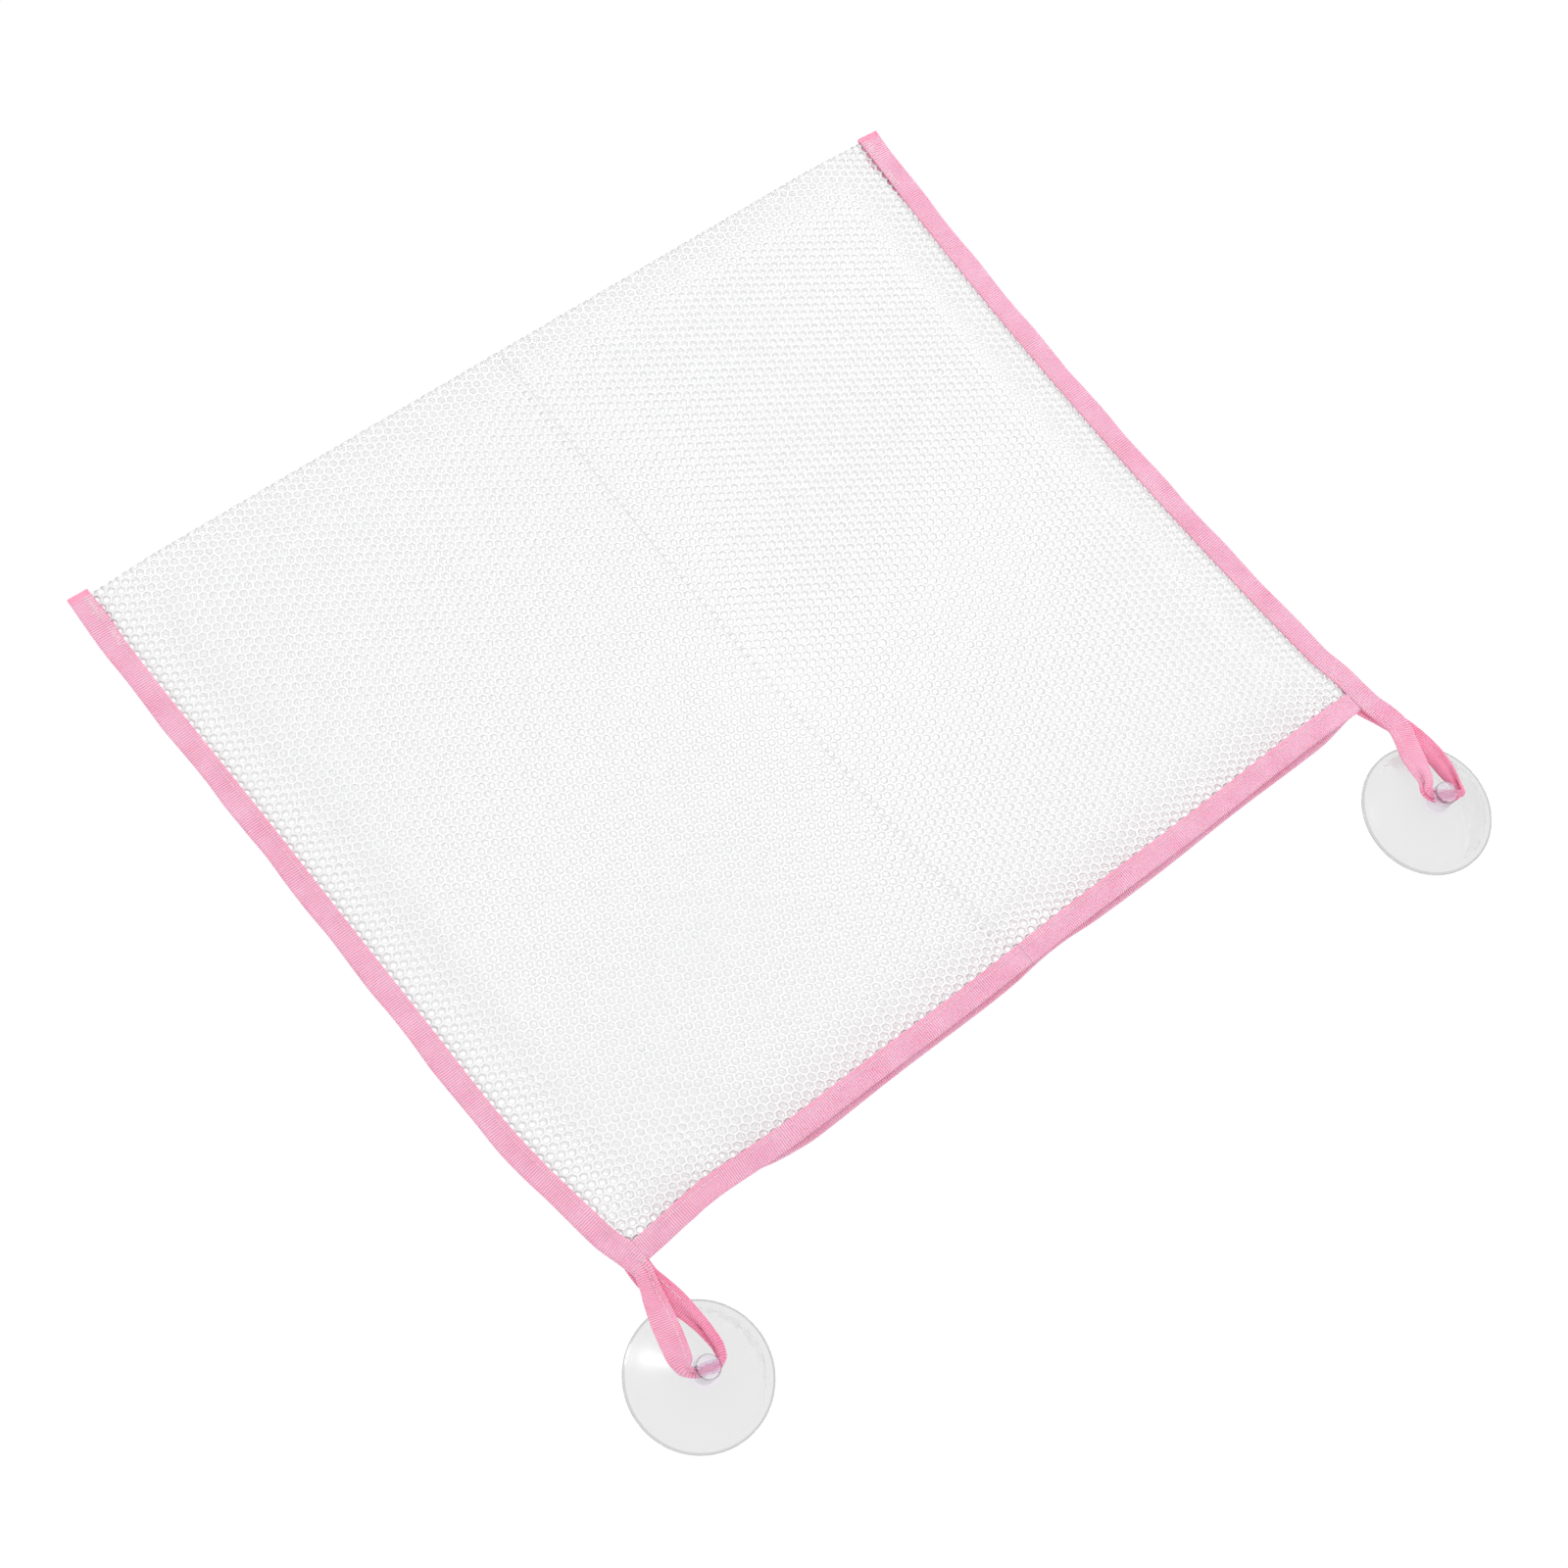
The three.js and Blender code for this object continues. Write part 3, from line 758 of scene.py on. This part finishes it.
def cup_profile():
    """Radius and height from the hollow's crown, round the rim, over the dome and up to the knob's top."""
    rim_top = RIM_THICKNESS + 0.3 * RIM_ROUND
    dome_start = (CUP_RADIUS - 2 * RIM_ROUND, RIM_THICKNESS + 0.7 * RIM_ROUND)
    dome_end = (KNOB_RADIUS + KNOB_FILLET, DOME_HEIGHT)
    knob_foot = (KNOB_RADIUS, DOME_HEIGHT + KNOB_FILLET)
    knob_side = (KNOB_RADIUS, KNOB_TOP - KNOB_EDGE)
    knob_rim = (KNOB_RADIUS - KNOB_EDGE, KNOB_TOP)
    profile = curve((0, HOLLOW_HEIGHT), HOLLOW_BEND, (CUP_RADIUS - RIM_LAND, 0), 22)
    profile += curve((CUP_RADIUS - RIM_ROUND, 0), (CUP_RADIUS, 0), (CUP_RADIUS, RIM_ROUND), 5)
    profile += curve((CUP_RADIUS, RIM_THICKNESS - RIM_ROUND), (CUP_RADIUS, RIM_THICKNESS),
                     (CUP_RADIUS - RIM_ROUND, rim_top), 5)
    profile += curve(dome_start, DOME_BEND, dome_end, 24)
    profile += curve(dome_end, (KNOB_RADIUS, DOME_HEIGHT), knob_foot, 7)[1:]
    profile += curve(knob_side, (KNOB_RADIUS, KNOB_TOP), knob_rim, 7)
    profile += [[0, KNOB_TOP]]
    return np.array(profile)


def turned(name, profile, centre, around=96):
    """A closed solid turned about the upright axis through the centre."""
    turn = np.linspace(0, 2 * math.pi, around, endpoint=False)
    ring = profile[1:-1]
    x = centre.x + ring[:, :1] * np.cos(turn)
    y = centre.y + ring[:, :1] * np.sin(turn)
    points = np.stack([x, y, ring[:, 1:] + 0 * turn], axis=-1).reshape(-1, 3)
    poles = [(centre.x, centre.y, profile[0][1]), (centre.x, centre.y, profile[-1][1])]
    faces = tube_faces(len(ring), around).tolist()
    hub = len(points)
    last = (len(ring) - 1) * around
    for k in range(around):
        after = (k + 1) % around
        faces.append([hub, after, k])
        faces.append([hub + 1, last + k, last + after])
    return make_piece(name, np.concatenate([points, poles]), faces, CLEAR)


def drill_eye(cup, pivot, axis):
    bpy.ops.mesh.primitive_cylinder_add(vertices=64, radius=EYE_RADIUS, depth=4 * KNOB_RADIUS, location=pivot)
    drill = bpy.context.object
    drill.rotation_euler = axis.to_track_quat("Z", "Y").to_euler()
    cut = cup.modifiers.new("eye", "BOOLEAN")
    cut.object = drill
    cut.solver = "EXACT"
    whole = cup.data
    cup.data = bpy.data.meshes.new_from_object(cup.evaluated_get(bpy.context.evaluated_depsgraph_get()))
    cup.modifiers.clear()
    bpy.data.meshes.remove(whole)
    bpy.data.objects.remove(drill)


def cup_material(radius, height):
    """Which of a cup's materials a face takes: 0 plain, 1 along an edge, painted dark as the shade line that
    the edge shows, 2 on the knob.
    """
    if height > KNOB_TOP - KNOB_EDGE and radius > KNOB_RADIUS - KNOB_LINE:
        return 1
    if height > DOME_HEIGHT:
        return 2
    return 1 if radius > CUP_RADIUS - RIM_LINE else 0


def suction_cup(name, joint):
    """A clear moulding with an eye through its knob, along the joint that it swings on."""
    pivot = Vector(joint["pos_m"])
    cup = turned(name, cup_profile(), pivot)
    drill_eye(cup, pivot, Vector(joint["axis"]))
    cup.data.polygons.foreach_set("use_smooth", np.ones(len(cup.data.polygons), dtype=bool))
    cup.data.set_sharp_from_angle(angle=math.radians(SHARP_ANGLE))
    cup.data.materials.append(CLEAR_PAINTED_EDGE_LINE)
    cup.data.materials.append(CLEAR_KNOB)
    for face in cup.data.polygons:
        face.material_index = cup_material((face.center - pivot).xy.length, face.center.z)
    return cup


# Put the bag together

half_names = {-1: "left", 1: "right"}


def open_with_mouth(piece):
    """Bake a front piece's placement into its mesh."""
    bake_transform(piece)


for side, label in half_names.items():
    inner, outer = sorted((0.0, side * NET_HALF))
    front = net_piece(f"front_net_{label}", inner, outer, NET_INSET, FOLD_START)
    rear = net_piece(f"rear_net_{label}", inner, outer, FOLD_START, REAR_END)
    front.data.transform(Matrix.Translation((side * HALVES_APART / 2, 0, 0)))
    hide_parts("front_net_panel")
    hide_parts("rear_net_panel")
    open_with_mouth(front)
    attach(rear, "bag")

for side, label in half_names.items():
    inner, outer = sorted((0.0, side * LIP_END))
    path = tape_path(lip_rows(front_edge, front_lip_height, LIP_FOLD, inner, outer))
    lip = tape(f"front_mouth_tape_{label}", path)
    row = thread(f"front_mouth_stitches_{label}", seam(path, 1, 0.0))
    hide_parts("front_mouth_binding")
    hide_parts("front_mouth_stitching")
    open_with_mouth(lip)
    open_with_mouth(row)

rear_path = tape_path(lip_rows(rear_edge, rear_lip_height, REAR_LIP_FOLD, -LIP_END, LIP_END))
rear_lip = tape("rear_mouth_tape", rear_path)
rear_row = thread("rear_mouth_stitches", seam(rear_path, 1, 0.0))
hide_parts("rear_mouth_binding")
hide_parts("rear_mouth_stitching")
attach(rear_lip, "bag")
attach(rear_row, "bag")

# Side, its name, loop and root, how far the lower ply shows near the fold, width, and length past the fold
sides = (
    (-1, "left", LEFT_LOOP, left_root, 1.2 * MM, 9.5 * MM, 0.0),
    (1, "right", RIGHT_LOOP, right_root, 2.6 * MM, 10.2 * MM, -1.0 * MM),
)
for side, label, loop, root, under, width, past_fold in sides:
    path = tape_path(side_rows(side, loop, under, width, past_fold))
    side_tape = tape(f"{label}_side_tape", path, -side, SMOOTH_END)
    row = thread(f"{label}_side_stitches", seam(path, -side, SEAM_START))
    fold_strokes = [stroke for sizes in FOLD_TACKS for stroke in tack(path, -side, *sizes)]
    mouth_along = path.along[np.argmax(path.place[:, 1] < MOUTH_Y)]
    corner_strokes = [stroke for past in CORNER_TACKS for stroke in dashes(path, mouth_along + past)]
    fold_tack = thread(f"{label}_fold_stitches", fold_strokes, TACK_THREAD)
    corner_tack = thread(f"{label}_corner_stitches", corner_strokes)
    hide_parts(f"{label}_side_binding", f"{label}_hanging_loop")
    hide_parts(f"{label}_side_stitching")
    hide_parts(f"{label}_fold_tack")
    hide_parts(f"{label}_corner_tack")
    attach(fold_tack, "bag")
    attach(corner_tack, "bag")
    for piece in (side_tape, row):
        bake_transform(piece)
    cup = suction_cup(f"{label}_cup", joints[f"{label}_cup_swing"])
    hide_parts(f"{label}_suction_cup")
    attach(cup, f"{label}_cup")


# Floor, light and camera

FLOOR_HALF = 3.0
FLOOR_LEVEL = -0.5 * MM

# The photograph's camera, from the middle of the mouth: it looks down, 24 degrees from upright
CAMERA_PLACE = (-0.4872, -0.0806, 1.1230)
CAMERA_RIGHT = (0.7568, -0.6239, 0.1950)
CAMERA_BACK = (-0.3705, -0.1636, 0.9143)
LENS = 67.5
SENSOR = 36


def add_floor():
    corners = [(-1, -1), (1, -1), (1, 1), (-1, 1)]
    points = [(FLOOR_HALF * x, FLOOR_HALF * y, FLOOR_LEVEL) for x, y in corners]
    floor = make_piece("floor", points, [(0, 1, 2, 3)], floor_material())


def add_light(name, place, target, size, power, gloss_only):
    """A round soft light, which either lights surfaces or only shows as a gleam on glossy ones."""
    data = bpy.data.lights.new(name, "AREA")
    data.shape = "DISK"
    data.size = size
    data.energy = power
    light = bpy.data.objects.new(name, data)
    light.location = place
    light.rotation_euler = (Vector(target) - Vector(place)).to_track_quat("-Z", "Y").to_euler()
    light.visible_diffuse = not gloss_only
    light.visible_glossy = gloss_only
    light.visible_transmission = False
    bpy.context.scene.collection.objects.link(light)


def add_camera():
    right = Vector(CAMERA_RIGHT).normalized()
    back = Vector(CAMERA_BACK).normalized()
    up = back.cross(right)
    across, along, height = CAMERA_PLACE
    place = Vector((MOUTH_X + across, MOUTH_Y + along, height))
    data = bpy.data.cameras.new("camera")
    data.lens = LENS
    data.sensor_width = SENSOR
    camera = bpy.data.objects.new("camera", data)
    camera.matrix_world = Matrix.Translation(place) @ Matrix((right, up, back)).transposed().to_4x4()
    bpy.context.scene.collection.objects.link(camera)
    bpy.context.scene.camera = camera


def add_world():
    """A white tent all round."""
    world = bpy.data.worlds.new("studio")
    world.use_nodes = True
    background = world.node_tree.nodes["Background"]
    background.inputs["Color"].default_value = (1, 1, 1, 1)
    background.inputs["Strength"].default_value = 1.0
    bpy.context.scene.world = world


add_floor()
add_world()
add_light("key", place=(0.9, 0.7, 1.5), target=(0, 0, 0), size=2.0, power=9.8, gloss_only=False)
add_light("gleam", place=(-0.50, 0.71, 1.02), target=(-0.2, -0.18, 0), size=0.35, power=6, gloss_only=True)
add_camera()
bpy.context.scene.view_settings.view_transform = "Standard"
